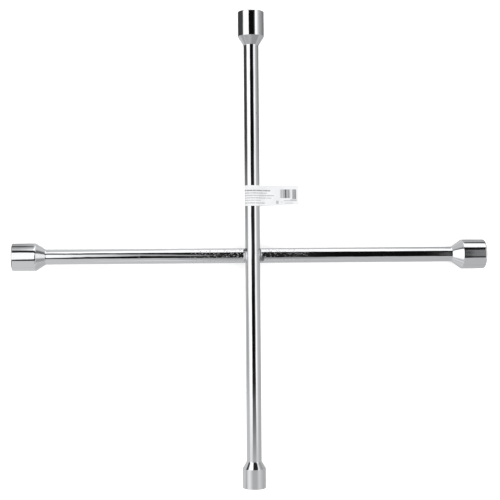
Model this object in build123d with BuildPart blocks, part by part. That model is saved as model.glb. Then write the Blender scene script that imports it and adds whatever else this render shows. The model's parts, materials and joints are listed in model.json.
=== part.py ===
from build123d import *
import math
import os
from collections import namedtuple

# Four-way lug wrench, lying flat.  Millimetres.
# X runs along the lower bar, Y along the upper bar, Z is up.
# The origin is under the middle of the upper bar, level with the lowest point of the
# wrench.  The lower bar is welded on a little to the -Y side of that middle.

# ---- driving dimensions ----
overall_length = 508.0      # face to face, the same for both bars (20 in)
bar_diameter = 15.875       # 5/8 in round bar
axis_offset = 8.0           # height of the upper bar's axis above the lower bar's
crossing_y = -6.5           # where the lower bar crosses, measured from the upper bar's middle
weld_radius = 3.3           # concave weld bead round the crossing
neck_radius = 3.0           # blend where a head leaves its bar
mouth_depth = 1.4           # conical mouth that guides the nut into the hexagon
mouth_margin = 0.25         # mouth radius beyond the hexagon's corners
label_height = 21.8         # along the upper bar
label_centre_y = 57.2       # label centre, measured from the upper bar's middle
label_reach = 50.7          # end of the flag, measured from the bar's axis
label_ply = 0.2             # one thickness of the label stock
fold_ratio = 2.2            # distance from the bar's axis to the fold, in bar radii

Head = namedtuple("Head", "flats outer barrel cone rim hex_depth relief_radius relief_depth")
# flats: hexagon across flats; outer: barrel diameter; rim: rounding of the open edge;
# relief: round hole behind the hexagon that clears the wheel stud, depth from the face
head_17 = Head(17.0, 24.7, 20.8, 8.4, 0.8, 14.0, 7.4, 21.5)
head_19 = Head(19.0, 27.8, 26.5, 10.3, 0.8, 18.0, 8.3, 26.5)
head_21 = Head(21.0, 29.0, 24.9, 11.0, 0.9, 17.0, 9.2, 25.0)
head_23 = Head(23.0, 31.4, 25.3, 12.2, 1.5, 17.0, 10.1, 25.0)

bar_radius = bar_diameter / 2
half_length = overall_length / 2
lower_axis_z = head_23.outer / 2
upper_axis_z = lower_axis_z + axis_offset
joint_z = (lower_axis_z + upper_axis_z) / 2


def neck_position(head):
    """Distance from a bar's middle to the neck, where the head meets its bar."""
    return half_length - head.barrel - head.cone


def form_head(head, mouth):
    """Shape one socket head inside the current part; mouth is its open face, facing out."""
    total = head.barrel + head.cone
    edge = head.outer / 2
    neck = mouth.offset(-total)
    half_section = Plane(neck.origin, x_dir=neck.x_dir, z_dir=neck.x_dir.cross(neck.z_dir))

    # the neck's blend is tangent to the bar and to the cone
    slope = math.atan2(edge - bar_radius, head.cone)
    run = neck_radius * math.tan(slope / 2)
    blend_end = (bar_radius + run * math.sin(slope), run + run * math.cos(slope))

    with BuildSketch(half_section) as profile:
        with BuildLine():
            Line((0, 0), (bar_radius, 0))
            TangentArc((bar_radius, 0), blend_end, tangent=(0, 1))
            Line(blend_end, (edge, head.cone))
            Line((edge, head.cone), (edge, total - head.rim))
            TangentArc((edge, total - head.rim), (edge - head.rim, total), tangent=(0, 1))
            Line((edge - head.rim, total), (0, total))
            Line((0, total), (0, 0))
        make_face()
    revolve(profile.sketch, axis=Axis(mouth.origin, mouth.z_dir))

    # broached hexagon, with two flats level
    with BuildSketch(mouth) as hexagon:
        RegularPolygon(radius=head.flats / 2, side_count=6, major_radius=False)
    extrude(hexagon.sketch, amount=-head.hex_depth, mode=Mode.SUBTRACT)

    # round relief behind the hexagon
    with BuildSketch(mouth.offset(-head.hex_depth)) as relief:
        Circle(head.relief_radius)
    extrude(relief.sketch, amount=head.hex_depth - head.relief_depth, mode=Mode.SUBTRACT)

    # conical mouth, from just outside the hexagon's corners down to its flats
    corner_radius = head.flats / math.sqrt(3)
    with Locations(mouth.offset(-mouth_depth / 2)):
        Cone(head.flats / 2, corner_radius + mouth_margin, mouth_depth, mode=Mode.SUBTRACT)


# ---- bars ----
# The bars overlap at the crossing and are forge-welded there.  The joint between them is
# taken at joint_z, half way between the two axes: each bar gives way to the other's core.
upper_run = Plane((0, -neck_position(head_17), upper_axis_z), x_dir=(1, 0, 0), z_dir=(0, 1, 0))
lower_run = Plane(
    (-neck_position(head_21), crossing_y, lower_axis_z), x_dir=(0, 1, 0), z_dir=(1, 0, 0)
)
upper_length = neck_position(head_17) + neck_position(head_19)
lower_length = neck_position(head_21) + neck_position(head_23)

with BuildPart() as upper_core:
    with BuildSketch(upper_run):
        Circle(bar_radius)
    extrude(amount=upper_length)
    split(bisect_by=Plane.XY.offset(joint_z), keep=Keep.TOP)

with BuildPart() as lower_core:
    with BuildSketch(lower_run):
        Circle(bar_radius)
    extrude(amount=lower_length)
    split(bisect_by=Plane.XY.offset(joint_z), keep=Keep.BOTTOM)

with BuildPart() as upper_bar:
    with BuildSketch(upper_run):
        Circle(bar_radius)
    extrude(amount=upper_length)
    add(lower_core.part, mode=Mode.SUBTRACT)
upper_bar.part.label = "upper_bar"

with BuildPart() as lower_bar:
    with BuildSketch(lower_run):
        Circle(bar_radius)
    extrude(amount=lower_length)
    add(upper_core.part, mode=Mode.SUBTRACT)
lower_bar.part.label = "lower_bar"

# ---- weld bead round the crossing ----
# A fillet is run along the seam of the joined bars; the bead is what it adds.
seam_reach = 2 * bar_radius
with BuildPart() as centre_weld:
    add(upper_bar.part)
    add(lower_bar.part)
    seam = centre_weld.edges().filter_by(
        lambda edge: abs(edge.center().X) < seam_reach
        and abs(edge.center().Y - crossing_y) < seam_reach
    )
    fillet(seam, radius=weld_radius)
    add(upper_bar.part, mode=Mode.SUBTRACT)
    add(lower_bar.part, mode=Mode.SUBTRACT)
centre_weld.part.label = "centre_weld"

# ---- socket heads ----
with BuildPart() as socket_17mm:
    form_head(head_17, Plane((0, -half_length, upper_axis_z), x_dir=(1, 0, 0), z_dir=(0, -1, 0)))
socket_17mm.part.label = "socket_17mm"

with BuildPart() as socket_19mm:
    form_head(head_19, Plane((0, half_length, upper_axis_z), x_dir=(1, 0, 0), z_dir=(0, 1, 0)))
socket_19mm.part.label = "socket_19mm"

with BuildPart() as socket_21mm:
    form_head(
        head_21, Plane((-half_length, crossing_y, lower_axis_z), x_dir=(0, 1, 0), z_dir=(-1, 0, 0))
    )
socket_21mm.part.label = "socket_21mm"

with BuildPart() as socket_23mm:
    form_head(
        head_23, Plane((half_length, crossing_y, lower_axis_z), x_dir=(0, 1, 0), z_dir=(1, 0, 0))
    )
socket_23mm.part.label = "socket_23mm"

# ---- paper label, wrapped round the upper bar and stuck to itself as a flag ----
# Section across the bar: it hugs the bar's far side, runs in from the two points where it
# leaves the bar to the fold, and goes on double as the flag.
fold_x = fold_ratio * bar_radius
leave_angle = math.acos(1 / fold_ratio)
leave_x = math.cos(leave_angle)
leave_z = math.sin(leave_angle)
outer_radius = bar_radius + label_ply
flag_start = (outer_radius - label_ply * leave_z) / leave_x
label_section = Plane.XZ.offset(-label_centre_y)

with BuildPart() as label:
    with BuildSketch(label_section):
        with Locations((0, upper_axis_z)):
            Circle(outer_radius)
            Polygon(
                (outer_radius * leave_x, outer_radius * leave_z),
                (flag_start, label_ply),
                (label_reach, label_ply),
                (label_reach, -label_ply),
                (flag_start, -label_ply),
                (outer_radius * leave_x, -outer_radius * leave_z),
                align=None,
            )
            Circle(bar_radius, mode=Mode.SUBTRACT)
            Polygon(
                (bar_radius * leave_x, bar_radius * leave_z),
                (fold_x, 0),
                (bar_radius * leave_x, -bar_radius * leave_z),
                align=None,
                mode=Mode.SUBTRACT,
            )
    extrude(amount=label_height / 2, both=True)
label.part.label = "label"

os.makedirs("parts", exist_ok=True)
export_step(upper_bar.part, "parts/upper_bar.step")
export_step(lower_bar.part, "parts/lower_bar.step")
export_step(centre_weld.part, "parts/centre_weld.step")
export_step(socket_17mm.part, "parts/socket_17mm.step")
export_step(socket_19mm.part, "parts/socket_19mm.step")
export_step(socket_21mm.part, "parts/socket_21mm.step")
export_step(socket_23mm.part, "parts/socket_23mm.step")
export_step(label.part, "parts/label.step")
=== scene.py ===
import json
import math

import bmesh
import bpy
from mathutils import Matrix, Vector, noise


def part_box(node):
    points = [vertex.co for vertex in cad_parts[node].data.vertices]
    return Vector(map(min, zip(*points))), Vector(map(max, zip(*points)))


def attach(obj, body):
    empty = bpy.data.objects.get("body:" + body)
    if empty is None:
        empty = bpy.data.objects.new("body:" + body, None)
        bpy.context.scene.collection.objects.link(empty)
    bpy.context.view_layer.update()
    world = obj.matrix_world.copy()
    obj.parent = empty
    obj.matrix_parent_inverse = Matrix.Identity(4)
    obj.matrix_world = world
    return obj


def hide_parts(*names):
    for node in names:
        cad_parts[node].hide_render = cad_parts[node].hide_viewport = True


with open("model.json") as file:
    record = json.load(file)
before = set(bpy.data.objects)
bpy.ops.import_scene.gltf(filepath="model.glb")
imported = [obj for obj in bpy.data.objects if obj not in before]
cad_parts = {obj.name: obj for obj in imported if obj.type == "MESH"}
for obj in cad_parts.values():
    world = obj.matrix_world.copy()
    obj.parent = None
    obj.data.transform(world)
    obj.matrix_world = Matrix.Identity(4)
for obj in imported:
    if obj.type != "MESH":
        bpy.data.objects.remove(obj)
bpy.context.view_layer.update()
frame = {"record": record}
scene = bpy.context.scene

# Metres.  +X is along the lower bar, +Y along the upper bar, +Z up.
MM = 0.001
DEGREES = 180 / math.pi
BODY = "root"
upper_low, upper_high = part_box("upper_bar")
lower_low, lower_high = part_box("lower_bar")
label_low, label_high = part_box("label")
BAR_RADIUS = (upper_high.x - upper_low.x) / 2
UPPER_Z = (upper_high.z + upper_low.z) / 2
LOWER_Y = (lower_high.y + lower_low.y) / 2
LOWER_Z = (lower_high.z + lower_low.z) / 2


# ---------------------------------------------------------------- mesh tools

MERGE_DISTANCE = 0.0005 * MM


def grid_mesh(name, rows, cap_start=False, cap_end=False, closed_along=False):
    """A skin over rings of points: rows[i][j] is point j of ring i, and every ring closes."""
    count = len(rows[0])
    points = [tuple(p) for row in rows for p in row]
    faces = []
    row_count = len(rows)
    spans = row_count if closed_along else row_count - 1
    for i in range(spans):
        start = i * count
        following = ((i + 1) % row_count) * count
        for j in range(count):
            k = (j + 1) % count
            faces.append((start + j, start + k, following + k, following + j))
    if cap_start:
        faces.append(tuple(reversed(range(count))))
    if cap_end:
        last = (row_count - 1) * count
        faces.append(tuple(range(last, last + count)))
    mesh = bpy.data.meshes.new(name)
    mesh.from_pydata(points, [], faces)
    return mesh


def finish_mesh(mesh, crisp_degrees=28.0):
    """Merge doubled points, face outward, shade smooth, and keep the sharp turns crisp."""
    work = bmesh.new()
    work.from_mesh(mesh)
    bmesh.ops.remove_doubles(work, verts=work.verts, dist=MERGE_DISTANCE)
    bmesh.ops.recalc_face_normals(work, faces=work.faces)
    limit = math.radians(crisp_degrees)
    for face in work.faces:
        face.smooth = True
    for edge in work.edges:
        edge.smooth = not edge.is_manifold or edge.calc_face_angle(0.0) < limit
    work.to_mesh(mesh)
    work.free()


def add_piece(name, mesh, material, node):
    """Put a finished mesh into the scene, standing for one CAD node and riding on the wrench."""
    piece = bpy.data.objects.new(name, mesh)
    scene.collection.objects.link(piece)
    mesh.materials.append(material)
    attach(piece, BODY)
    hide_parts(node)


def about_axis(along, s, flat, up):
    """The point s along a bar's axis, flat to its side and up above it; along is 0 or 1."""
    if along == 0:
        return (s, LOWER_Y + flat, LOWER_Z + up)
    return (flat, s, UPPER_Z + up)


def smooth_step(low, high, value):
    t = min(1.0, max(0.0, (value - low) / (high - low)))
    return t * t * (3 - 2 * t)


# ---------------------------------------------------------------- node tools

class Nodes:
    """Short names for the shader nodes that the materials are built from."""

    def __init__(self, tree):
        self.tree = tree
        tree.nodes.clear()

    def add(self, kind, **inputs):
        node = self.tree.nodes.new(kind)
        for key, value in inputs.items():
            self.feed(node, key.replace("_", " "), value)
        return node

    def feed(self, node, key, value):
        socket = node.inputs[int(key)] if key.isdigit() else node.inputs[key]
        if isinstance(value, bpy.types.NodeSocket):
            self.tree.links.new(value, socket)
        else:
            socket.default_value = value

    def math(self, operation, first, second=0.0, third=0.0, clamp=False):
        node = self.tree.nodes.new("ShaderNodeMath")
        node.operation = operation
        node.use_clamp = clamp
        for index, value in enumerate((first, second, third)):
            self.feed(node, str(index), value)
        return node.outputs[0]

    def step(self, value, low, high, start=0.0, end=1.0):
        """A smooth step of value, from start at low to end at high."""
        node = self.tree.nodes.new("ShaderNodeMapRange")
        node.interpolation_type = "SMOOTHSTEP"
        for index, item in enumerate((value, low, high, start, end)):
            self.feed(node, str(index), item)
        return node.outputs[0]

    def band(self, value, low, high, soft):
        """One between low and high, nought outside, with edges that wide."""
        rising = self.step(value, low - soft / 2, low + soft / 2)
        falling = self.step(value, high - soft / 2, high + soft / 2, 1.0, 0.0)
        return self.math("MULTIPLY", rising, falling)

    def mix(self, factor, first, second):
        """A number between first and second."""
        node = self.tree.nodes.new("ShaderNodeMix")
        node.data_type = "FLOAT"
        for index, item in ((0, factor), (2, first), (3, second)):
            self.feed(node, str(index), item)
        return node.outputs[0]

    def mix_color(self, factor, first, second):
        node = self.tree.nodes.new("ShaderNodeMix")
        node.data_type = "RGBA"
        for index, item in ((0, factor), (6, first), (7, second)):
            self.feed(node, str(index), item)
        return node.outputs[2]

    def ramp(self, value, stops):
        """Numbers along a line: stops are (place, number), and value is a place."""
        node = self.tree.nodes.new("ShaderNodeFloatCurve")
        low, high = stops[0][0], stops[-1][0]
        base = min(number for place, number in stops)
        curve = node.mapping.curves[0]
        node.mapping.extend = "HORIZONTAL"
        while len(curve.points) < len(stops):
            curve.points.new(0.5, 0.5)
        span = max(number for place, number in stops) - base
        for point, (place, number) in zip(curve.points, stops):
            point.location = ((place - low) / (high - low), (number - base) / span)
            point.handle_type = "VECTOR"
        node.mapping.update()
        scaled = self.tree.nodes.new("ShaderNodeMapRange")
        for index, item in enumerate((value, low, high, 0.0, 1.0)):
            self.feed(scaled, str(index), item)
        self.tree.links.new(scaled.outputs[0], node.inputs["Value"])
        return self.math("MULTIPLY_ADD", node.outputs[0], span, base)

    def mapped(self, vector, scale, offset=(0.0, 0.0, 0.0)):
        return self.add("ShaderNodeMapping", Vector=vector, Scale=scale, Location=offset).outputs[0]

    def noise(self, vector, scale, detail=2.0, roughness=0.5):
        node = self.add("ShaderNodeTexNoise", Vector=vector, Scale=scale, Detail=detail,
                        Roughness=roughness)
        return node.outputs["Fac"]


def object_place(nodes):
    """Position in the wrench's own frame, in metres."""
    return nodes.add("ShaderNodeTexCoord").outputs["Object"]


# ---------------------------------------------------------------- chrome

# scales of the textures, in features per metre
WAVE_SCALE = 260.0
GRAIN_SCALE = 900.0
PIT_SCALE = 620.0
PATCH_SCALE = 120.0
BAND_GRAIN_SCALE = 1500.0
RING_SCALE = 2600.0
HAZE_SCALE = 60.0

# heights of the bumps, in millimetres
WAVE_HEIGHT = 0.055
GRAIN_HEIGHT = 0.006
PIT_HEIGHT = -0.05
BAND_GRAIN_HEIGHT = 0.05
BAND_PIT_HEIGHT = -0.07

DRAWN_OUT = 0.22  # the waves' scale along the piece, against their scale across it
BAND_PITS = 0.30
SMOOTHEST = 0.035
ROUGHEST = 0.085
PIT_ROUGHNESS = 0.25
PIT_TONE = (0.60, 0.60, 0.61, 1.0)
# tone and roughness of the dark patch: a nick's mark on the upper bar, and painted shade beside the weld
DENT_AND_SHADE_TONE = (0.30, 0.30, 0.31, 1.0)
DENT_AND_SHADE_ROUGHNESS = 0.35


def chrome_material(name, along, wave=1.0, pits=0.3, pit_reach=None, turned=0.0, nick_and_shade=None,
                    tint=(0.87, 0.88, 0.90)):
    """Bright plating.  along is 0 or 1, the axis that the piece lies along.

    wave: how uneven the metal under the plating is.
    pits: how many small pits there are everywhere.
    pit_reach: more and deeper pits, with grain between them, this far from the crossing.
    turned: height in millimetres of the fine lathe marks that run round the piece.
    nick_and_shade: middle and half size of one dark patch, each an (x, y, z) in millimetres; on the upper
    bar it is a nick's dark mark, and beside the weld it is painted shade.
    tint: colour of the plating.
    """
    material = bpy.data.materials.new(name)
    material.use_nodes = True
    nodes = Nodes(material.node_tree)
    place = object_place(nodes)
    split = nodes.add("ShaderNodeSeparateXYZ", Vector=place)
    length = split.outputs[along]

    stretch = [1.0, 1.0, 1.0]
    stretch[along] = DRAWN_OUT
    drawn = nodes.mapped(place, tuple(stretch))
    broad = nodes.noise(drawn, WAVE_SCALE, detail=2.0)
    fine = nodes.noise(place, GRAIN_SCALE, detail=3.0, roughness=0.6)

    spots = nodes.add("ShaderNodeTexVoronoi", Vector=place, Scale=PIT_SCALE)
    where = nodes.noise(place, PATCH_SCALE, detail=1.0)
    pit_limit = nodes.step(where, 0.45, 0.8, 0.02, 0.02 + 0.22 * pits)
    if pit_reach:
        from_crossing = nodes.math("ABSOLUTE", length)
        in_band = nodes.step(from_crossing, pit_reach * 0.72, pit_reach, 1.0, 0.0)
        pit_limit = nodes.math("MULTIPLY_ADD", in_band, BAND_PITS, pit_limit)
    pit = nodes.math("SUBTRACT", pit_limit, spots.outputs["Distance"])
    pit = nodes.math("MULTIPLY", pit, 4.0, clamp=True)

    height = nodes.math("MULTIPLY", broad, WAVE_HEIGHT * wave)
    height = nodes.math("MULTIPLY_ADD", fine, GRAIN_HEIGHT * wave, height)
    height = nodes.math("MULTIPLY_ADD", pit, PIT_HEIGHT, height)
    if pit_reach:
        grain = nodes.noise(place, BAND_GRAIN_SCALE, detail=2.0)
        grain = nodes.math("MULTIPLY", grain, in_band)
        height = nodes.math("MULTIPLY_ADD", grain, BAND_GRAIN_HEIGHT, height)
        band_pit = nodes.math("MULTIPLY", pit, in_band)
        height = nodes.math("MULTIPLY_ADD", band_pit, BAND_PIT_HEIGHT, height)
    if turned:
        rings = nodes.noise(nodes.math("MULTIPLY", length, RING_SCALE), 1.0, detail=3.0)
        height = nodes.math("MULTIPLY_ADD", rings, turned, height)
    bump = nodes.add("ShaderNodeBump", Height=height, Strength=1.0, Distance=MM)

    haze = nodes.noise(place, HAZE_SCALE, detail=4.0)
    rough = nodes.step(haze, 0.35, 0.75, SMOOTHEST, ROUGHEST)
    rough = nodes.math("MULTIPLY_ADD", pit, PIT_ROUGHNESS, rough)
    tone = nodes.mix_color(pit, (*tint, 1.0), PIT_TONE)
    # a dark patch: a nick's mark on the upper bar, and painted shade beside the weld on the lower bar and
    # the bead
    if nick_and_shade:
        middle, half = nick_and_shade
        scale = tuple(1 / (MM * h) for h in half)
        offset = tuple(-m / h for m, h in zip(middle, half))
        distance = nodes.add("ShaderNodeVectorMath", **{"0": nodes.mapped(place, scale, offset)})
        distance.operation = "LENGTH"
        dent_and_shade = nodes.step(distance.outputs["Value"], 0.7, 1.0, 1.0, 0.0)
        tone = nodes.mix_color(dent_and_shade, tone, DENT_AND_SHADE_TONE)
        rough = nodes.mix(dent_and_shade, rough, DENT_AND_SHADE_ROUGHNESS)

    shader = nodes.add("ShaderNodeBsdfPrincipled", Base_Color=tone, Metallic=1.0, Roughness=rough,
                       Normal=bump.outputs[0])
    out = nodes.add("ShaderNodeOutputMaterial")
    nodes.tree.links.new(shader.outputs[0], out.inputs["Surface"])
    return material


# ---------------------------------------------------------------- bars

RING = 96
ROW_PITCH = 1.25 * MM
BLEND_IN = 6 * MM

# unevenness of the bars: length of the swells, and their height in millimetres
SLOW_LENGTH = 38 * MM
SLOW_HEIGHT = 0.035
QUICK_LENGTH = 11 * MM
QUICK_HEIGHT = 0.012


def bar_mesh(name, along, start, end, seed):
    """Round bar with the slight unevenness of hot-rolled stock, dying out at both necks."""
    rows = []
    count = int((end - start) / ROW_PITCH)
    for i in range(count + 1):
        s = start + (end - start) * i / count
        keep = smooth_step(0, BLEND_IN, s - start) * smooth_step(0, BLEND_IN, end - s)
        ring = []
        for j in range(RING):
            turn = 2 * math.pi * j / RING
            c, d = math.cos(turn), math.sin(turn)
            slow = noise.noise(Vector((s / SLOW_LENGTH, c * 0.9 + seed, d * 0.9)))
            quick = noise.noise(Vector((s / QUICK_LENGTH, c * 1.6, d * 1.6 + seed)))
            radius = BAR_RADIUS + keep * (SLOW_HEIGHT * slow + QUICK_HEIGHT * quick) * MM
            ring.append(about_axis(along, s, radius * c, radius * d))
        rows.append(ring)
    mesh = grid_mesh(name, rows, cap_start=True, cap_end=True)
    finish_mesh(mesh)
    return mesh


# ---------------------------------------------------------------- socket heads

COLUMNS = 144
ARC_STEPS = 8
SOFT_STEPS = 6
CONE_STEPS = 10
BARREL_STEPS = 24
HEXAGON_STEPS = 10
NECK_RADIUS = 3.0 * MM
MOUTH_DEPTH = 1.4 * MM
MOUTH_MARGIN = 0.25 * MM
RELIEF_ROUNDING = 0.6 * MM

# in millimetres: across flats, cone length, rim rounding, hexagon depth, and the radius that
# softens the edge between barrel and cone
HEADS = {
    "socket_17mm": (17.0, 8.4, 0.8, 14.0, 0.5),
    "socket_19mm": (19.0, 10.3, 0.8, 18.0, 0.5),
    "socket_21mm": (21.0, 11.0, 0.9, 17.0, 3.4),
    "socket_23mm": (23.0, 12.2, 1.5, 17.0, 0.7),
}


def arc_points(centre, radius, first, last, steps):
    """Points on an arc, as (distance along the head, radius), angles in radians."""
    found = []
    for i in range(steps + 1):
        turn = first + (last - first) * i / steps
        found.append((centre[0] + radius * math.cos(turn), centre[1] + radius * math.sin(turn)))
    return found


def head_outside(total, outer, cone, rim, soft):
    """Outline from the neck to the open face: (distance from the neck, radius)."""
    slope = math.atan2(outer - BAR_RADIUS, cone)
    points = [(0.0, BAR_RADIUS)]
    points += arc_points((0.0, BAR_RADIUS + NECK_RADIUS), NECK_RADIUS,
                         -math.pi / 2, -math.pi / 2 + slope, ARC_STEPS)[1:]
    cut = soft * math.tan(slope / 2)
    blend_x, blend_r = points[-1]
    edge_x = cone - cut * math.cos(slope)
    edge_r = outer - cut * math.sin(slope)
    for i in range(1, CONE_STEPS):
        t = i / CONE_STEPS
        points.append((blend_x + (edge_x - blend_x) * t, blend_r + (edge_r - blend_r) * t))
    points += arc_points((cone + cut, outer - soft), soft,
                         math.pi / 2 + slope, math.pi / 2, SOFT_STEPS)
    start = cone + cut
    end = total - rim
    for i in range(1, BARREL_STEPS):
        points.append((start + (end - start) * i / BARREL_STEPS, outer))
    points += arc_points((end, outer - rim), rim, math.pi / 2, 0.0, ARC_STEPS)
    return points


def head_inside(total, flats, hexagon, hex_depth, relief_radius, relief_depth):
    """Outline from the open face to the bottom of the relief, along one direction.

    hexagon is the hexagon's radius in that direction.
    """
    mouth = flats / math.sqrt(3) + MOUTH_MARGIN
    meet = total - MOUTH_DEPTH * (mouth - hexagon) / (mouth - flats / 2)
    # the mouth, with both its edges broken
    points = [
        (total, mouth + 0.12 * MM),
        (total - 0.1 * MM, mouth),
        (meet - 0.08 * MM, hexagon + 0.03 * MM),
        (meet - 0.2 * MM, hexagon),
    ]
    start = meet - 0.2 * MM
    end = total - hex_depth
    for i in range(1, HEXAGON_STEPS + 1):
        points.append((start - (start - end) * i / HEXAGON_STEPS, hexagon))
    # the hexagon's floor slopes down into the relief, whose bottom is rounded
    ledge = end - 0.125 * (hexagon - relief_radius)
    bottom = total - relief_depth
    points += [
        (ledge, relief_radius + 0.15 * MM),
        (ledge - 0.15 * MM, relief_radius),
        (bottom + RELIEF_ROUNDING, relief_radius),
        (bottom, relief_radius - RELIEF_ROUNDING),
        (bottom, 0.35 * relief_radius),
        (bottom, 0.02 * relief_radius),
    ]
    return points


def head_mesh(name, along, sign, low, high):
    """A socket head on the bar that lies along that axis, its face towards sign."""
    flats, cone, rim, hex_depth, soft = (value * MM for value in HEADS[name])
    size = high - low
    total = size[along]
    face = high[along] if sign > 0 else -low[along]
    neck = face - total
    mount_name = name.replace("socket", "stud_relief")
    relief = next(m for m in frame["record"]["mounts"] if m["name"] == mount_name)
    relief_radius = relief["dims"]["r_mm"] * MM
    relief_depth = hex_depth + relief["dims"]["length_mm"] * MM
    outside = head_outside(total, size.z / 2, cone, rim, soft)
    columns = []
    for j in range(COLUMNS):
        turn = 2 * math.pi * j / COLUMNS
        from_flat = math.radians(30 - math.degrees(turn) % 60)
        hexagon = flats / 2 / math.cos(from_flat)
        inside = head_inside(total, flats, hexagon, hex_depth, relief_radius, relief_depth)
        columns.append([(turn, x, r) for x, r in outside + inside])
    rows = []
    for i in range(len(columns[0])):
        ring = []
        for column in columns:
            turn, x, r = column[i]
            ring.append(about_axis(along, sign * (neck + x), r * math.cos(turn), r * math.sin(turn)))
        rows.append(ring)
    mesh = grid_mesh(name, rows, cap_start=True, cap_end=True)
    finish_mesh(mesh)
    return mesh


# ---------------------------------------------------------------- weld bead

SEAM_STEPS = 288
BEAD_STEPS = 12
BEAD_WIDTH = 2.3 * MM
BEAD_DEPTH = 0.35 * MM
RIPPLES = 34


def seam_point(turn):
    """The point of the bars' seam in direction turn, and the outward normals of both bars there."""
    drop = UPPER_Z - LOWER_Z
    c, d = math.cos(turn), math.sin(turn)
    near, far = 0.0, BAR_RADIUS / max(abs(c), abs(d))
    for _ in range(50):
        middle = (near + far) / 2
        across = max(0.0, BAR_RADIUS ** 2 - (middle * c) ** 2)
        above = max(0.0, BAR_RADIUS ** 2 - (middle * d) ** 2)
        if math.sqrt(across) + math.sqrt(above) > drop:
            near = middle
        else:
            far = middle
    x, y = near * c, near * d
    z = LOWER_Z + math.sqrt(max(0.0, BAR_RADIUS ** 2 - y * y))
    point = Vector((x, LOWER_Y + y, z))
    lower_normal = Vector((0, y, z - LOWER_Z)).normalized()
    upper_normal = Vector((x, 0, z - UPPER_Z)).normalized()
    return point, lower_normal, upper_normal


def on_bar(point, along, lift):
    """The nearest point of a bar's surface, lifted off it by lift."""
    if along == 0:
        across = Vector((point.y - LOWER_Y, point.z - LOWER_Z))
    else:
        across = Vector((point.x, point.z - UPPER_Z))
    across = across.normalized() * (BAR_RADIUS + lift)
    return Vector(about_axis(along, point[along], across.x, across.y))


def bead_mesh(name):
    """Concave weld bead with the ripples of its passes, run all the way round the crossing."""
    turns = [2 * math.pi * (i + 0.5) / SEAM_STEPS for i in range(SEAM_STEPS)]
    seam = [seam_point(turn) for turn in turns]
    rows = []
    for i, (point, lower_normal, upper_normal) in enumerate(seam):
        before = seam[i - 1][0]
        after = seam[(i + 1) % SEAM_STEPS][0]
        run = (after - before).normalized()
        out = (lower_normal + upper_normal).normalized()
        on_lower = run.cross(lower_normal)
        if on_lower.dot(upper_normal) < 0:
            on_lower.negate()
        on_upper = run.cross(upper_normal)
        if on_upper.dot(lower_normal) < 0:
            on_upper.negate()
        turn = turns[i]
        uneven = noise.noise(Vector((3.1 * math.cos(turn), 3.1 * math.sin(turn), 4.7)))
        ripple = math.sin(turn * RIPPLES + 2.2 * uneven)
        width = BEAD_WIDTH * (1 + 0.16 * uneven + 0.03 * ripple)
        first = on_bar(point + on_lower * width, 0, -0.02 * MM)
        last = on_bar(point + on_upper * width, 1, -0.02 * MM)
        control = point + out * 0.25 * MM * (1 + uneven)
        ring = []
        for j in range(BEAD_STEPS + 1):
            t = j / BEAD_STEPS
            place = first * (1 - t) ** 2 + control * 2 * t * (1 - t) + last * t * t
            swell = math.sin(math.pi * t)
            place = place + out * swell * (0.07 * ripple + 0.10 * uneven) * MM
            ring.append(place)
        ring.append(on_bar(last, 1, -BEAD_DEPTH))
        ring.append(point - out * 2 * BEAD_DEPTH)
        ring.append(on_bar(first, 0, -BEAD_DEPTH))
        rows.append(ring)
    mesh = grid_mesh(name, rows, closed_along=True)
    finish_mesh(mesh, crisp_degrees=50.0)
    return mesh


# ---------------------------------------------------------------- label

PAPER = 0.16 * MM
HALF_GAP = 0.01 * MM  # half the gap between the two halves of the flag
FOLD_RATIO = 2.2
FOLD_X = FOLD_RATIO * BAR_RADIUS
FLAG_STEPS = 40
BLEND_STEPS = 20
WRAP_STEPS = 48
HEIGHT_STEPS = 28

# the flag's end: how far its lower corner lifts and its upper one drops, in millimetres, how
# much the lower edge rises, and how far the lower corner is drawn in
LOW_LIFT = 1.5
HIGH_DROP = 1.2
TAPER = 1.4 * MM
DRAWN_IN = 1.0 * MM


def label_line():
    """The middle of the sheet, seen along the bar: from the flag's end under, round, and back over.

    Each point is (x, z above the bar's axis).
    """
    radius = BAR_RADIUS + PAPER / 2
    level = PAPER / 2 + HALF_GAP
    leave = math.acos(1 / FOLD_RATIO)
    end = label_high.x
    join = FOLD_X + 4 * MM
    half = []
    for i in range(FLAG_STEPS + 1):
        half.append((end + (join - end) * i / FLAG_STEPS, level))
    start = Vector((radius * math.cos(leave), radius * math.sin(leave)))
    slope = Vector((math.sin(leave), -math.cos(leave)))
    flat = Vector((join, level))
    reach = (flat - start).length
    steep_control = start + slope * reach * 0.45
    flat_control = Vector((join - reach * 0.42, level))
    for i in range(1, BLEND_STEPS):
        t = 1 - i / BLEND_STEPS
        place = (start * (1 - t) ** 3 + steep_control * 3 * t * (1 - t) ** 2
                 + flat_control * 3 * t * t * (1 - t) + flat * t ** 3)
        half.append((place.x, place.y))
    for i in range(WRAP_STEPS + 1):
        turn = leave + (math.pi - leave) * i / WRAP_STEPS
        half.append((radius * math.cos(turn), radius * math.sin(turn)))
    return half + [(x, -z) for x, z in reversed(half[:-1])]


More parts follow.
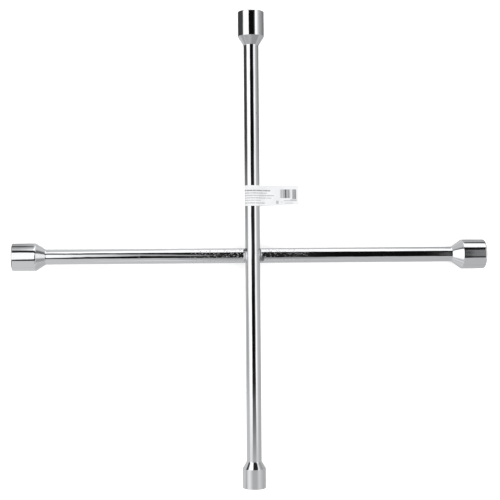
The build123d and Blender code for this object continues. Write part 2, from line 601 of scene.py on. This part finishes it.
def label_mesh(name):
    """The sheet as one folded ribbon with its own thickness, its flag lifting a little at the end."""
    line = label_line()
    count = len(line)
    outer_side = []
    inner_side = []
    for i, (x, z) in enumerate(line):
        ax, az = line[max(0, i - 1)]
        bx, bz = line[min(count - 1, i + 1)]
        tangent = Vector((bx - ax, bz - az)).normalized()
        outward = Vector((tangent.y, -tangent.x))
        outer_side.append(Vector((x, z)) + outward * PAPER / 2)
        inner_side.append(Vector((x, z)) - outward * PAPER / 2)
    loop = outer_side + list(reversed(inner_side))
    centre_y = (label_low.y + label_high.y) / 2
    height = label_high.y - label_low.y
    span = label_high.x - FOLD_X
    rows = []
    for k in range(HEIGHT_STEPS + 1):
        v = k / HEIGHT_STEPS
        low_side = 1 - v
        ring = []
        for p in loop:
            out = max(0.0, (p.x - FOLD_X) / span)
            lift = (LOW_LIFT * out ** 2 * low_side - HIGH_DROP * out ** 2 * v) * MM
            rise = TAPER * smooth_step(0, 1, out) * low_side
            x = p.x - DRAWN_IN * out * low_side
            y = centre_y - height / 2 + height * v + rise
            ring.append((x, y, UPPER_Z + p.y + lift))
        rows.append(ring)
    mesh = grid_mesh(name, rows)
    # close the sheet's two long edges, strip by strip, so that no face spans the fold
    work = bmesh.new()
    work.from_mesh(mesh)
    work.verts.ensure_lookup_table()
    ring_size = len(loop)
    for k in (0, HEIGHT_STEPS):
        base = k * ring_size
        for i in range(count - 1):
            corners = (base + i, base + i + 1, base + ring_size - 2 - i, base + ring_size - 1 - i)
            work.faces.new([work.verts[c] for c in corners])
    work.to_mesh(mesh)
    work.free()
    finish_mesh(mesh, crisp_degrees=40.0)
    return mesh


# Places on the label are in millimetres: from the bar's axis, and above the sheet's lower edge.
# The rows, stripes and marks were set to the photograph's grey levels.
# Rows of print: middle of the row, its right end, darkness, thickness.
PRINT_ROWS = (
    (16.3, 19.4, 0.95, 1.2),
    (13.6, 15.4, 0.66, 1.05),
    (11.0, 23.6, 0.72, 0.95),
    (8.4, 20.8, 0.64, 0.95),
    (5.8, 8.6, 0.60, 0.9),
    (3.0, 13.6, 0.70, 1.05),
)
PRINT_LEFT = -12.0

# left and right edges of the stripes that stand for a bar code; the last few reach a little lower
STRIPES = (
    (30.1, 30.4), (31.0, 31.5), (32.0, 32.5), (33.1, 33.7), (34.1, 34.7), (35.0, 37.1),
    (37.6, 38.1), (38.4, 39.1), (39.4, 40.2), (41.1, 41.3), (42.8, 43.3), (43.8, 44.5),
    (44.8, 45.5), (45.8, 46.7), (46.9, 47.3),
)
STRIPE_TOP = 17.7
STRIPE_BOTTOM = 8.4
LONG_STRIPE_BOTTOM = 7.3
FIRST_LONG_STRIPE = 42.5
STRIPE_DARKNESS = 0.9

# grey marks under the bar code: left, right, bottom, top, darkness
MARKS = (
    (33.8, 40.6, 4.9, 6.4, 0.28),
    (40.8, 47.9, 5.1, 6.9, 0.40),
    (34.8, 43.8, 2.4, 3.6, 0.26),
    (25.7, 28.3, 2.2, 5.6, 0.44),
    (30.6, 33.4, 3.6, 4.9, 0.14),
)


def dash_rows(nodes, x, y):
    """Rows of short dashes that stand for text."""
    ink = None
    for index, (middle, end, dark, thick) in enumerate(PRINT_ROWS):
        line = nodes.band(y, middle - thick / 2, middle + thick / 2, 0.25)
        line = nodes.math("MULTIPLY", line, nodes.band(x, PRINT_LEFT, end, 0.3))
        along = nodes.math("ADD", nodes.math("MULTIPLY", x, 1.35), 17.3 * index)
        dash = nodes.add("ShaderNodeTexNoise", Scale=1.0, Detail=2.0)
        dash.noise_dimensions = "1D"
        nodes.feed(dash, "W", along)
        broken = nodes.step(dash.outputs["Fac"], 0.36, 0.46)
        strokes = nodes.add("ShaderNodeTexNoise", Scale=3.2, Detail=1.0)
        strokes.noise_dimensions = "1D"
        nodes.feed(strokes, "W", along)
        fill = nodes.step(strokes.outputs["Fac"], 0.3, 0.7, 0.55, 1.0)
        line = nodes.math("MULTIPLY", nodes.math("MULTIPLY", line, broken), fill)
        line = nodes.math("MULTIPLY", line, dark)
        ink = line if ink is None else nodes.math("MAXIMUM", ink, line)
    return ink


def label_ink(nodes, x, y):
    """How much ink there is at a place on the label."""
    ink = dash_rows(nodes, x, y)
    for left, right in STRIPES:
        bottom = STRIPE_BOTTOM if left < FIRST_LONG_STRIPE else LONG_STRIPE_BOTTOM
        tall = nodes.band(y, bottom, STRIPE_TOP, 0.25)
        block = nodes.math("MULTIPLY", nodes.band(x, left, right, 0.1), tall)
        ink = nodes.math("MAXIMUM", ink, nodes.math("MULTIPLY", block, STRIPE_DARKNESS))
    for left, right, bottom, top, dark in MARKS:
        tall = nodes.band(y, bottom, top, 0.25)
        block = nodes.math("MULTIPLY", nodes.band(x, left, right, 0.25), tall)
        ink = nodes.math("MAXIMUM", ink, nodes.math("MULTIPLY", block, dark))
    return ink


def label_material(name):
    """Coated white paper, printed on the side that faces up."""
    material = bpy.data.materials.new(name)
    material.use_nodes = True
    nodes = Nodes(material.node_tree)
    place = object_place(nodes)
    split = nodes.add("ShaderNodeSeparateXYZ", Vector=place)
    x = nodes.math("DIVIDE", split.outputs[0], MM)
    y = nodes.math("SUBTRACT", nodes.math("DIVIDE", split.outputs[1], MM), label_low.y / MM)
    normal = nodes.add("ShaderNodeNewGeometry").outputs["Normal"]
    facing = nodes.add("ShaderNodeSeparateXYZ", Vector=normal)
    front = nodes.step(facing.outputs[2], 0.02, 0.12)
    ink = nodes.math("MULTIPLY", label_ink(nodes, x, y), front)

    fibre = nodes.noise(place, 1800.0, detail=4.0, roughness=0.65)
    cloud = nodes.noise(place, 90.0, detail=2.0)
    clouds = nodes.step(cloud, 0.3, 0.7)
    fibres = nodes.step(fibre, 0.55, 0.8, 0.0, 0.35)
    sheet = nodes.mix_color(clouds, (0.66, 0.665, 0.68, 1.0), (0.70, 0.705, 0.715, 1.0))
    sheet = nodes.mix_color(fibres, sheet, (0.63, 0.635, 0.65, 1.0))
    # painted shade: greyest along the fold, where the sheet leaves the bar; and whiter at the end, where
    # the front half stands alone
    fold_shade = nodes.math("MULTIPLY", nodes.band(x, 5.5, 14.0, 6.0), 0.16)
    sheet = nodes.mix_color(fold_shade, sheet, (0.45, 0.45, 0.46, 1.0))
    single = nodes.step(x, 49.2, 50.0, 0.0, 0.5)
    sheet = nodes.mix_color(single, sheet, (0.80, 0.80, 0.81, 1.0))
    tone = nodes.mix_color(ink, sheet, (0.045, 0.045, 0.055, 1.0))

    height = nodes.math("MULTIPLY_ADD", cloud, 0.12, nodes.math("MULTIPLY", fibre, 0.012))
    bump = nodes.add("ShaderNodeBump", Height=height, Strength=0.6, Distance=MM)
    rough = nodes.mix(ink, nodes.step(fibre, 0.3, 0.8, 0.42, 0.56), 0.62)
    shader = nodes.add("ShaderNodeBsdfPrincipled", Base_Color=tone, Roughness=rough,
                       Normal=bump.outputs[0])
    shader.inputs["Specular IOR Level"].default_value = 0.35
    out = nodes.add("ShaderNodeOutputMaterial")
    nodes.tree.links.new(shader.outputs[0], out.inputs["Surface"])
    return material


# ---------------------------------------------------------------- the wrench

def build_wrench():
    # a nick on the upper bar's +Y arm
    nick_and_shade = ((4.7, 145.0, UPPER_Z / MM + 6.4), (1.0, 0.6, 2.0))
    # painted shade: a dark patch on the lower bar and the bead, right of the crossing, between the bead
    # and the bar; the mesh has no groove there
    crossing_shade = ((10.6, LOWER_Y / MM - 3.0, LOWER_Z / MM + 6.8), (2.4, 4.6, 4.0))
    upper_chrome = chrome_material("upper_bar_plating", 1, wave=1.0, pits=0.35, nick_and_shade=nick_and_shade)
    lower_chrome = chrome_material("lower_bar_plating", 0, wave=1.25, pits=0.5,
                                   pit_reach=80 * MM, nick_and_shade=crossing_shade)
    # the bead's plating is the bars' chrome with a darker tint: painted shade at the crossing
    shaded_weld_chrome = chrome_material("weld_plating_shaded", 0, wave=1.6, pits=0.8, nick_and_shade=crossing_shade,
                                  tint=(0.66, 0.67, 0.69))
    along_x = chrome_material("head_plating_x", 0, wave=0.9, pits=0.4, turned=0.0025)
    along_y = chrome_material("head_plating_y", 1, wave=0.8, pits=0.3, turned=0.0025)

    # the bars run a little way into the heads, so that no gap shows at the necks
    overlap = 1.5 * MM
    mesh = bar_mesh("upper_bar_steel", 1, upper_low.y - overlap, upper_high.y + overlap, 3.7)
    add_piece("upper_bar_steel", mesh, upper_chrome, "upper_bar")
    mesh = bar_mesh("lower_bar_steel", 0, lower_low.x - overlap, lower_high.x + overlap, 11.3)
    add_piece("lower_bar_steel", mesh, lower_chrome, "lower_bar")
    add_piece("weld_bead", bead_mesh("weld_bead"), shaded_weld_chrome, "centre_weld")

    for node, along, sign in (
        ("socket_17mm", 1, -1),
        ("socket_19mm", 1, 1),
        ("socket_21mm", 0, -1),
        ("socket_23mm", 0, 1),
    ):
        low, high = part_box(node)
        mesh = head_mesh(node, along, sign, low, high)
        material = along_x if along == 0 else along_y
        add_piece(node.replace("socket", "head"), mesh, material, node)

    paper = label_material("label_stock")
    add_piece("flag_label", label_mesh("flag_label"), paper, "label")


# ---------------------------------------------------------------- studio

def build_camera():
    """Nearly overhead, a little to the left, aimed close to the crossing."""
    data = bpy.data.cameras.new("studio_camera")
    data.sensor_width = 36.0
    data.lens = 83.37
    data.clip_start = 0.02
    data.clip_end = 50.0
    camera = bpy.data.objects.new("studio_camera", data)
    scene.collection.objects.link(camera)
    stand = Vector((-0.1065, -0.0139, 1.255))
    target = Vector((-0.0021, -0.0005, LOWER_Z))
    roll = math.radians(-0.46)
    back = (stand - target).normalized()
    right = Vector((0.0, 1.0, 0.0)).cross(back).normalized()
    aim = Matrix((right, back.cross(right), back)).transposed().to_4x4()
    camera.matrix_world = Matrix.Translation(stand) @ aim @ Matrix.Rotation(roll, 4, "Z")
    scene.camera = camera


def seen_in_gloss_only(piece):
    piece.visible_camera = False
    piece.visible_diffuse = False
    piece.visible_transmission = False
    piece.visible_volume_scatter = False
    piece.visible_shadow = False


def stage_light(name, mesh, nodes, level, cover=None, sheer=False):
    """Add an object that shows only in glossy reflections.

    cover is how much of it hides what lies behind; a sheer one hides nothing and only adds light.
    """
    glow = nodes.add("ShaderNodeEmission", Color=(1.0, 1.0, 1.0, 1.0), Strength=level)
    surface = glow.outputs[0]
    if sheer:
        both = nodes.add("ShaderNodeAddShader")
        clear = nodes.add("ShaderNodeBsdfTransparent")
        nodes.tree.links.new(clear.outputs[0], both.inputs[0])
        nodes.tree.links.new(surface, both.inputs[1])
        surface = both.outputs[0]
    if cover is not None:
        blend = nodes.add("ShaderNodeMixShader", Fac=cover)
        clear = nodes.add("ShaderNodeBsdfTransparent")
        nodes.tree.links.new(clear.outputs[0], blend.inputs[1])
        nodes.tree.links.new(surface, blend.inputs[2])
        surface = blend.outputs[0]
    out = nodes.add("ShaderNodeOutputMaterial")
    nodes.tree.links.new(surface, out.inputs["Surface"])
    piece = bpy.data.objects.new(name, mesh)
    scene.collection.objects.link(piece)
    seen_in_gloss_only(piece)


def light_nodes(name, mesh):
    material = bpy.data.materials.new(name)
    material.use_nodes = True
    mesh.materials.append(material)
    return Nodes(material.node_tree)


TENT_RADIUS = 1.6
CEILING_LEVEL = 1.25


def side_walls(nodes, side, x, y):
    """The right and left walls, each brightest overhead."""
    right_upper = nodes.ramp(side, (
        (0, CEILING_LEVEL), (42, CEILING_LEVEL), (52, 0.98), (62, 0.68), (72, 0.45), (84, 0.38),
        (112, 0.25), (132, 0.20), (180, 0.15),
    ))
    right_lower = nodes.ramp(side, (
        (0, CEILING_LEVEL), (40, CEILING_LEVEL), (50, 1.05), (57, 0.75), (75, 0.50), (98, 0.46),
        (130, 0.42), (180, 0.35),
    ))
    right = nodes.mix(nodes.step(y, 0.06, 0.2), right_lower, right_upper)
    other_side = nodes.math("MULTIPLY", side, -1.0)
    left_upper = nodes.ramp(other_side, (
        (0, CEILING_LEVEL), (69, CEILING_LEVEL), (81, 0.06), (150, 0.05), (180, 0.25),
    ))
    left_lower = nodes.ramp(other_side, (
        (0, CEILING_LEVEL), (64, 1.2), (76, 0.60), (98, 0.36), (112, 0.42), (130, 0.58), (180, 0.60),
    ))
    left = nodes.mix(nodes.step(y, 0.0, 0.2), left_lower, left_upper)
    return nodes.mix(nodes.step(x, -0.02, 0.02), left, right)


def far_wall(nodes, rise, x):
    """The wall beyond the upper bar's +Y end: a pale panel that narrows to both sides."""
    narrowing = nodes.ramp(x, (
        (-0.26, 34), (-0.2, 27), (-0.127, 19), (-0.083, 13), (-0.037, 6), (0.0, 0),
        (0.25, 0), (0.36, 8), (0.43, 18),
    ))
    high_edge = nodes.math("ADD", rise, narrowing)
    beyond = nodes.step(x, 0.1, 0.4, 0.62, 0.42)
    wall = nodes.mix(nodes.step(high_edge, 101.0, 112.0), CEILING_LEVEL, beyond)
    wall = nodes.math("MULTIPLY", wall, nodes.step(rise, 49.0, 61.0, 0.02, 1.0))
    dim = nodes.step(rise, 74.0, 56.0, 0.35, 0.75)
    dim = nodes.math("MULTIPLY", nodes.step(x, -0.22, -0.26), dim)
    wall = nodes.math("MULTIPLY", wall, nodes.math("SUBTRACT", 1.0, dim))
    # a dark gap at both ends of the panel
    ends = nodes.math("ADD", nodes.step(x, -0.22, -0.25), nodes.step(x, 0.37, 0.40))
    gap = nodes.math("MULTIPLY", nodes.band(rise, 93.0, 108.0, 9.0), ends)
    return nodes.mix(gap, wall, 0.06)


def opening_shade(nodes, rise, x):
    """What shows in the dark opening overhead: something grey stands in it on the right."""
    grain = nodes.noise(object_place(nodes), 9.0, detail=3.0)
    shade = nodes.ramp(x, (
        (0.343, 0.0), (0.357, 0.012), (0.364, 0.06), (0.370, 0.13), (0.380, 0.05),
        (0.390, 0.015), (0.3945, 0.06), (0.400, 0.21), (0.42, 0.21),
    ))
    shade = nodes.math("MULTIPLY", shade, nodes.step(grain, 0.35, 0.65, 0.85, 1.15))
    shade = nodes.math("MULTIPLY", shade, nodes.band(rise, -20.0, 32.0, 6.0))
    return nodes.math("ADD", shade, 0.004)


def build_tent():
    """A round studio tent that shows only in reflections: pale panels round a dark opening.

    side and rise are angles from straight overhead, in degrees, towards +X and +Y.
    """
    mesh = bpy.data.meshes.new("tent")
    work = bmesh.new()
    bmesh.ops.create_uvsphere(work, u_segments=96, v_segments=64, radius=TENT_RADIUS)
    work.to_mesh(mesh)
    work.free()
    nodes = light_nodes("tent_light", mesh)
    split = nodes.add("ShaderNodeSeparateXYZ", Vector=object_place(nodes))
    x, y, z = (nodes.math("DIVIDE", split.outputs[i], TENT_RADIUS) for i in range(3))
    side = nodes.math("MULTIPLY", nodes.math("ARCTAN2", x, z), DEGREES)
    rise = nodes.math("MULTIPLY", nodes.math("ARCTAN2", y, z), DEGREES)
    width = nodes.math("ABSOLUTE", x)

    level = side_walls(nodes, side, x, y)
    past_side = nodes.step(nodes.math("SUBTRACT", y, width), 0.0, 0.15)
    level = nodes.mix(past_side, level, far_wall(nodes, rise, x))

    # the wall beyond the -Y end, darker to the right
    near_wall = nodes.ramp(x, ((-0.45, 0.66), (-0.1, 0.58), (0.1, 0.55), (0.45, 0.49)))
    reach = nodes.math("SUBTRACT", nodes.math("MULTIPLY", y, -1.0), nodes.math("MULTIPLY", width, 0.6))
    level = nodes.mix(nodes.step(reach, 0.05, 0.3), level, near_wall)
    patch = nodes.math("MULTIPLY", nodes.band(x, -0.03, 0.2, 0.06), nodes.band(rise, -56.0, -30.0, 6.0))
    level = nodes.mix(patch, level, 0.34)

    opening = nodes.band(side, -24.0, 33.0, 4.0)
    opening = nodes.math("MULTIPLY", opening, nodes.band(rise, -31.0, 53.0, 7.0))
    level = nodes.mix(opening, level, opening_shade(nodes, rise, x))
    stage_light("tent", mesh, nodes, level)


def flat_card(name, low, high, height):
    """A level rectangle between two (x, y) corners, and the nodes of its light."""
    corners = [(low[0], low[1]), (high[0], low[1]), (high[0], high[1]), (low[0], high[1])]
    mesh = bpy.data.meshes.new(name)
    mesh.from_pydata([(x, y, height) for x, y in corners], [], [(0, 1, 2, 3)])
    nodes = light_nodes(name + "_light", mesh)
    split = nodes.add("ShaderNodeSeparateXYZ", Vector=object_place(nodes))
    return mesh, nodes, split.outputs[0], split.outputs[1]


def upright_card(name, across, place, low, high, turned=False):
    """A one-sided upright card at x or y = place, and the nodes of its light.

    across 1 stands along Y and faces -X; across 0 stands along X and faces +Y; turned faces it the
    other way.  low and high are (distance along it, z).  The last value returned is one on the
    card's front and nought on its back.
    """
    corners = [(low[0], low[1]), (low[0], high[1]), (high[0], high[1]), (high[0], low[1])]
    points = [(place, along, z) if across else (along, place, z) for along, z in corners]
    if turned:
        points.reverse()
    mesh = bpy.data.meshes.new(name)
    mesh.from_pydata(points, [], [(0, 1, 2, 3)])
    nodes = light_nodes(name + "_light", mesh)
    split = nodes.add("ShaderNodeSeparateXYZ", Vector=object_place(nodes))
    back = nodes.add("ShaderNodeNewGeometry").outputs["Backfacing"]
    front = nodes.math("SUBTRACT", 1.0, back)
    return mesh, nodes, split.outputs[across], split.outputs[2], front


CARD_FOOT = -0.13


def left_upright_cards():
    """Beside the -X head: stripes for its cone, and dark strips for its turn and its rim."""
    top = LOWER_Z + 0.115
    mesh, nodes, y, z, front = upright_card("left_upright", 1, -0.12, (-0.12, CARD_FOOT), (0.27, top))
    level = nodes.ramp(y, (
        (-0.12, 0.33), (-0.04, 0.33), (-0.012, 0.95), (0.043, 0.95), (0.058, 0.15),
        (0.09, 0.15), (0.115, 0.60), (0.27, 0.60),
    ))
    below_top = nodes.step(z, top - 0.01, top, 1.0, 0.0)
    cover = nodes.math("MULTIPLY", nodes.band(y, -0.085, 0.25, 0.03), below_top)
    stage_light("left_upright", mesh, nodes, level, nodes.math("MULTIPLY", cover, front))

    # beside the turn between barrel and cone
    foot = LOWER_Z + 0.022
    mesh, nodes, y, _, front = upright_card("edge_upright", 1, -0.222, (-0.02, foot), (0.02, foot + 0.2))
    cover = nodes.band(y, -0.011, 0.004, 0.006)
    stage_light("edge_upright", mesh, nodes, 0.03, nodes.math("MULTIPLY", cover, front))

    # beside the lower half of the rim
    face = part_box("socket_21mm")[0].x
    mesh, nodes, y, _, front = upright_card(
        "rim_upright", 1, face - 0.0028, (-0.024, LOWER_Z - 0.004), (-0.008, LOWER_Z + 0.021), turned=True)
    cover = nodes.band(y, -0.0225, -0.0105, 0.002)
    stage_light("rim_upright", mesh, nodes, 0.12, nodes.math("MULTIPLY", cover, front))


def build_upright_cards():
    """One-sided cards beside the heads, each with its front towards the cone or rim it is for."""
    left_upright_cards()

    # a grey card below the +Y head's cone
    mesh, nodes, x, z, front = upright_card("top_upright", 0, 0.14, (-0.14, 0.04), (0.16, 0.15))
    level = nodes.ramp(x, (
        (-0.14, 0.33), (-0.082, 0.40), (-0.02, 0.475), (0.012, 0.34), (0.06, 0.32), (0.16, 0.30),
    ))
    cover = nodes.math("MULTIPLY", nodes.band(x, -0.12, 0.14, 0.04), nodes.band(z, 0.05, 0.14, 0.02))
    stage_light("top_upright", mesh, nodes, level, nodes.math("MULTIPLY", cover, front))

    # a white strip above the -Y head's cone
    mesh, nodes, x, z, front = upright_card(
        "bottom_upright", 0, -0.14, (-0.10, 0.06), (-0.02, 0.17), turned=True)
    cover = nodes.math("MULTIPLY", nodes.band(x, -0.09, -0.029, 0.012), nodes.band(z, 0.07, 0.16, 0.02))
    stage_light("bottom_upright", mesh, nodes, 1.2, nodes.math("MULTIPLY", cover, front))

    # a dark strip beside the +X head's cone
    top = LOWER_Z + 0.095
    mesh, nodes, y, z, front = upright_card(
        "right_upright", 1, 0.12, (0.06, CARD_FOOT), (0.27, top), turned=True)
    level = nodes.ramp(y, ((0.06, 0.22), (0.098, 0.22), (0.12, 0.56), (0.27, 0.56)))
    below_top = nodes.step(z, top - 0.01, top, 1.0, 0.0)
    cover = nodes.math("MULTIPLY", nodes.band(y, 0.078, 0.25, 0.012), below_top)
    stage_light("right_upright", mesh, nodes, level, nodes.math("MULTIPLY", cover, front))


def build_left_card(rise):
    """A white wedge over the -X arm, thin and faint near the crossing."""
    mesh, nodes, x, y = flat_card("left_card", (-0.62, -0.14), (-0.03, 0.20), LOWER_Z + rise)
    low_edge = nodes.ramp(x, (
        (-0.40, -0.070), (-0.267, -0.056), (-0.2146, -0.038), (-0.184, -0.014),
        (-0.154, -0.008), (-0.119, 0.012), (-0.047, -0.010), (-0.03, -0.010),
    ))
    high_edge = nodes.ramp(x, (
        (-0.40, 0.130), (-0.267, 0.108), (-0.2146, 0.092), (-0.184, 0.088),
        (-0.154, 0.086), (-0.119, 0.076), (-0.047, 0.026), (-0.03, 0.026),
    ))
    strength = nodes.ramp(x, (
        (-0.62, 1.0), (-0.22, 1.0), (-0.184, 0.80), (-0.154, 0.62), (-0.119, 0.42),
        (-0.047, 0.30), (-0.03, 0.0),
    ))
    soft = 0.012
    above_low = nodes.step(nodes.math("SUBTRACT", y, low_edge), -soft, soft)
    below_high = nodes.step(nodes.math("SUBTRACT", high_edge, y), -soft, soft)
    inside = nodes.math("MULTIPLY", above_low, below_high)
    inside = nodes.math("MULTIPLY", inside, nodes.step(x, -0.62, -0.5))
    stage_light("left_card", mesh, nodes, 1.12, nodes.math("MULTIPLY", inside, strength))


def build_lower_card():
    """A grey veil over the -Y end."""
    rise = 0.08
    reach = 0.21
    mesh, nodes, x, y = flat_card("lower_card", (-reach, -0.46), (reach, -0.12), UPPER_Z + rise)
    side = nodes.math("MULTIPLY", nodes.math("ARCTAN2", x, rise), DEGREES)
    level = nodes.ramp(side, (
        (-70, 0.70), (-53, 0.86), (-43, 0.80), (-33, 0.66), (-23, 0.53), (-13, 0.45),
        (17, 0.455), (28, 0.54), (37, 0.655), (49, 0.63), (70, 0.56),
    ))
    cover = nodes.ramp(y, (
        (-0.46, 1.0), (-0.265, 1.0), (-0.235, 0.96), (-0.222, 0.75), (-0.195, 0.42),
        (-0.15, 0.04), (-0.12, 0.0),
    ))
    sides = nodes.band(x, -reach + 0.02, reach - 0.02, 0.03)
    stage_light("lower_card", mesh, nodes, level, nodes.math("MULTIPLY", cover, sides))


def build_cards():
    """Small level cards close over the arms, which fill the dark opening where they are needed."""
    rise = 0.15
    build_left_card(rise)

    # a dim sheer veil over the crossing, just above the left card's level
    mesh, nodes, x, y = flat_card("middle_card", (-0.14, -0.07), (0.14, 0.14), LOWER_Z + rise + 0.01)
    cover = nodes.math("MULTIPLY", nodes.band(x, -0.11, 0.09, 0.06), nodes.band(y, -0.035, 0.11, 0.05))
    stage_light("middle_card", mesh, nodes, nodes.math("MULTIPLY", cover, 0.013), sheer=True)

    build_lower_card()

    # pale floor round the -Y end
    reach = 0.4
    mesh, nodes, x, y = flat_card("floor_card", (-reach, -0.32), (reach, -0.12), 0.0)
    cover = nodes.math("MULTIPLY", nodes.band(x, -0.35, 0.35, 0.1), nodes.band(y, -0.29, -0.16, 0.06))
    stage_light("floor_card", mesh, nodes, nodes.step(x, -0.05, 0.05, 0.60, 0.47), cover)


def build_floor():
    """A plain pale floor just under the wrench, which doesn't show in reflections."""
    reach = 6.0
    mesh = bpy.data.meshes.new("floor")
    corners = [(-reach, -reach, 0), (reach, -reach, 0), (reach, reach, 0), (-reach, reach, 0)]
    mesh.from_pydata(corners, [], [(0, 1, 2, 3)])
    floor = bpy.data.objects.new("floor", mesh)
    floor.location.z = -0.4 * MM
    scene.collection.objects.link(floor)
    material = bpy.data.materials.new("floor_paper")
    material.use_nodes = True
    shader = material.node_tree.nodes["Principled BSDF"]
    shader.inputs["Base Color"].default_value = (0.93, 0.93, 0.93, 1.0)
    shader.inputs["Roughness"].default_value = 0.9
    shader.inputs["Specular IOR Level"].default_value = 0.1
    shader.inputs["Emission Color"].default_value = (1.0, 1.0, 1.0, 1.0)
    shader.inputs["Emission Strength"].default_value = 0.24
    mesh.materials.append(material)
    floor.visible_glossy = False


def build_lights():
    """An even white sky and two broad panels overhead, none of which the plating mirrors."""
    world = bpy.data.worlds.new("studio_air")
    scene.world = world
    world.use_nodes = True
    sky = world.node_tree.nodes["Background"]
    sky.inputs["Color"].default_value = (1.0, 1.0, 1.0, 1.0)
    sky.inputs["Strength"].default_value = 1.18
    for name, place, size, power in (
        ("key_panel", (-1.1, 0.9, 1.9), 1.8, 8.0),
        ("fill_panel", (1.3, -0.6, 1.9), 1.8, 6.0),
    ):
        data = bpy.data.lights.new(name, "AREA")
        data.shape = "SQUARE"
        data.size = size
        data.energy = power
        lamp = bpy.data.objects.new(name, data)
        scene.collection.objects.link(lamp)
        lamp.location = place
        lamp.rotation_euler = (-Vector(place)).to_track_quat("-Z", "Y").to_euler()
        lamp.visible_glossy = False
        lamp.visible_camera = False


build_camera()
build_wrench()
build_tent()
build_cards()
build_upright_cards()
build_floor()
build_lights()
scene.view_settings.view_transform = "Standard"
